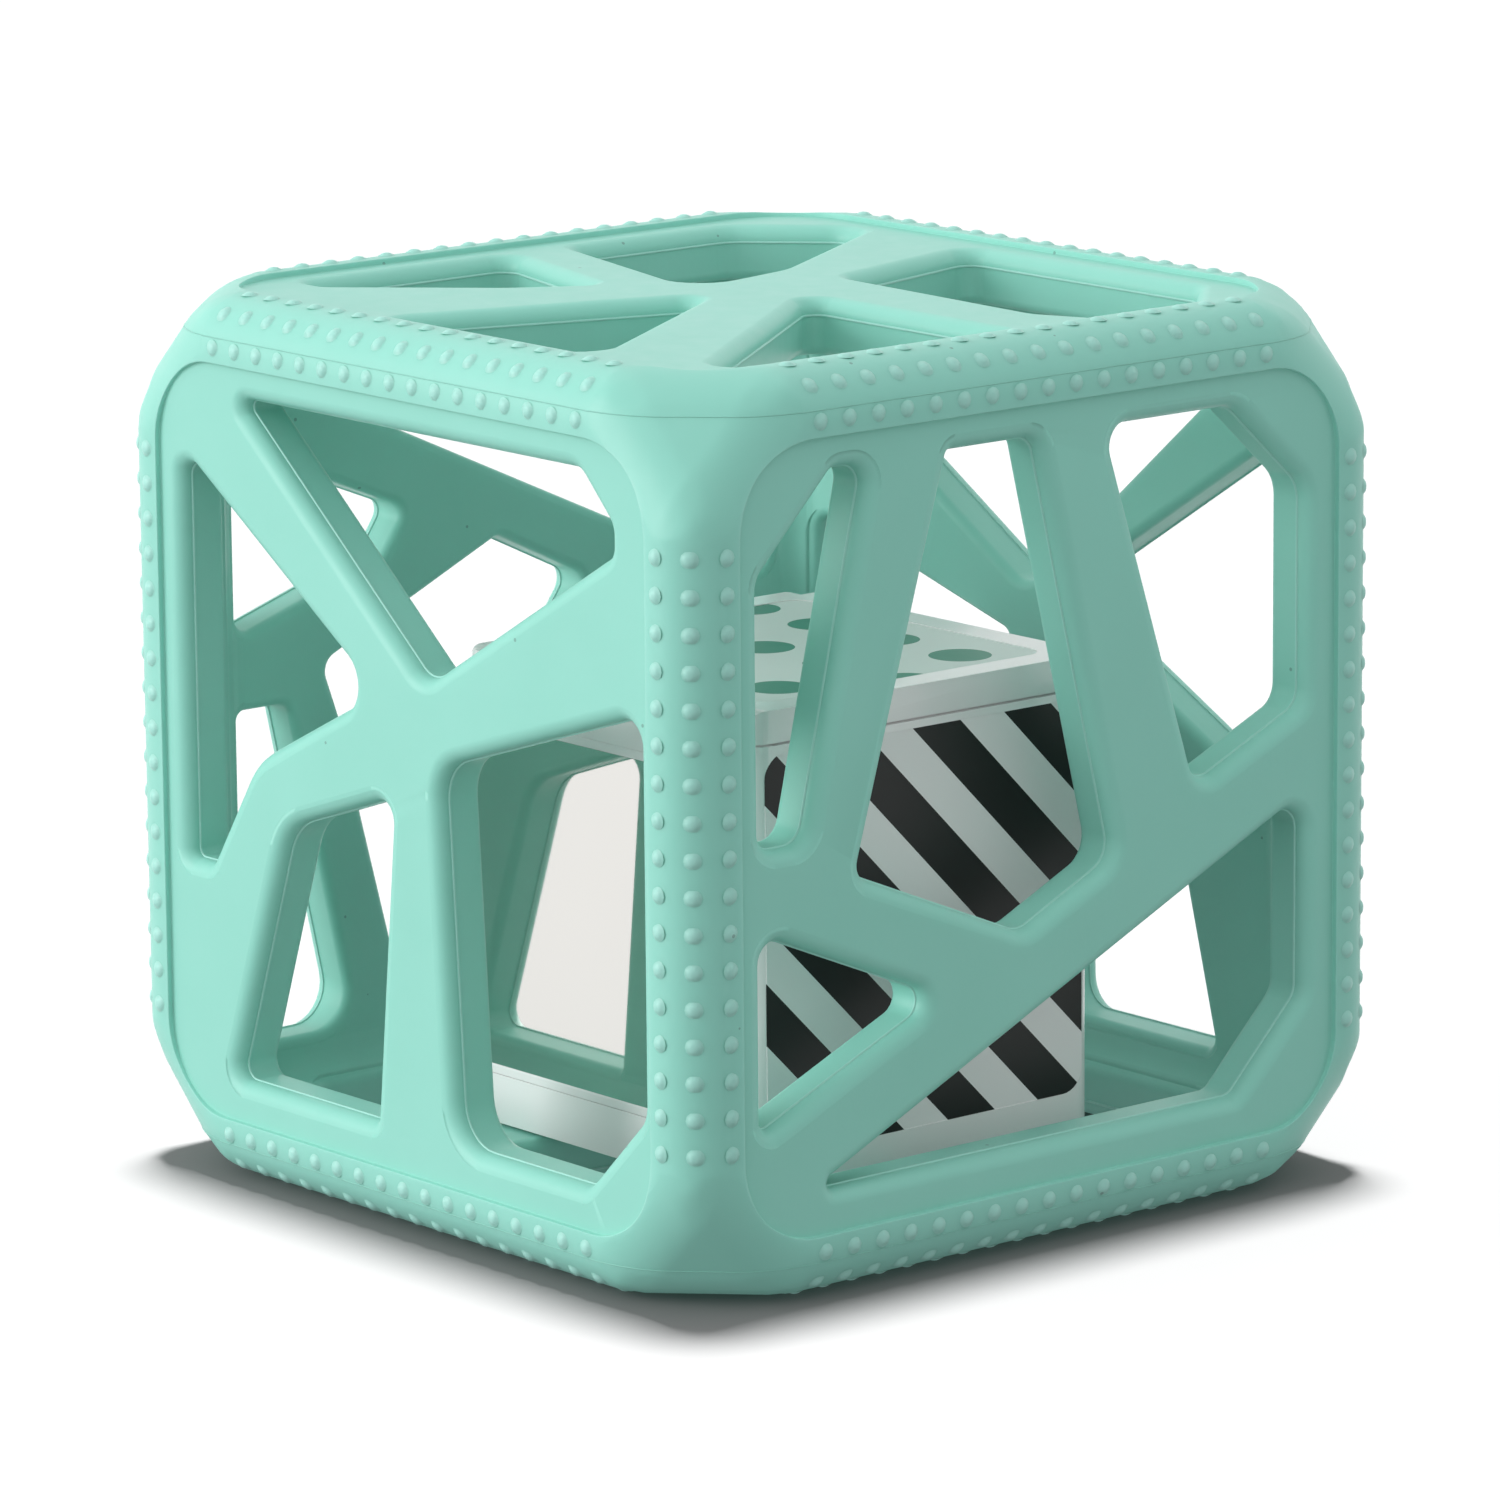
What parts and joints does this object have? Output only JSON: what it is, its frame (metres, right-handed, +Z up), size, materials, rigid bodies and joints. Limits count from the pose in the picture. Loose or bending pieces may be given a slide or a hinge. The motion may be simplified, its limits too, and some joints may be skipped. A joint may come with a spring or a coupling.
{
  "type": "rattle cube teether",
  "caption": "Soft open-web cage cube with bumpy edges to chew, holding a loose square rattle box with mirror and patterned sides.",
  "frame": {"origin": "middle of the underside of the cage", "axes": "+Z up; the side with the mirror faces -Y and the striped side faces +X"},
  "size_m": [0.09, 0.09, 0.09],
  "materials": {
    "cage": "matt silicone",
    "box": "gloss",
    "mirror": "mirror-coated acrylic sheet",
    "striped_label": "printed film, black and pale diagonal stripes",
    "dotted_label": "printed film, dark green dots on pale mint",
    "checked_label": "printed film, black and white checks",
    "ringed_label": "printed film, black and white rings",
    "bead": "gloss"
  },
  "bodies": {
    "cage": {"cage_frame": "cage", "front_web": "cage", "right_web": "cage", "back_web": "cage", "left_web": "cage", "top_web": "cage", "base_web": "cage"},
    "rattle_box": {"box_shell": "box", "box_lid": "box", "mirror_frame": "box", "mirror": "mirror", "striped_label": "striped_label", "dotted_label": "dotted_label", "checked_label": "checked_label", "ringed_label": "ringed_label"},
    "rattle_bead_1": {"bead_1": "bead"},
    "rattle_bead_2": {"bead_2": "bead"},
    "rattle_bead_3": {"bead_3": "bead"},
    "rattle_bead_4": {"bead_4": "bead"},
    "rattle_bead_5": {"bead_5": "bead"},
    "rattle_bead_6": {"bead_6": "bead"}
  },
  "joints": [
    {"name": "rattle_box_slide", "type": "slide", "parent": "cage", "child": "rattle_box", "axis": [0, 0, 1], "range_m": [0, 0.0286]},
    {"name": "bead_1_slide", "type": "slide", "parent": "rattle_box", "child": "rattle_bead_1", "axis": [0, 0, 1], "range_m": [0, 0.0374]},
    {"name": "bead_2_slide", "type": "slide", "parent": "rattle_box", "child": "rattle_bead_2", "axis": [0, 0, 1], "range_m": [0, 0.0374]},
    {"name": "bead_3_slide", "type": "slide", "parent": "rattle_box", "child": "rattle_bead_3", "axis": [0, 0, 1], "range_m": [0, 0.0374]},
    {"name": "bead_4_slide", "type": "slide", "parent": "rattle_box", "child": "rattle_bead_4", "axis": [0, 0, 1], "range_m": [0, 0.0374]},
    {"name": "bead_5_slide", "type": "slide", "parent": "rattle_box", "child": "rattle_bead_5", "axis": [0, 0, 1], "range_m": [0, 0.0374]},
    {"name": "bead_6_slide", "type": "slide", "parent": "rattle_box", "child": "rattle_bead_6", "axis": [0, 0, 1], "range_m": [0, 0.0374]}
  ]
}
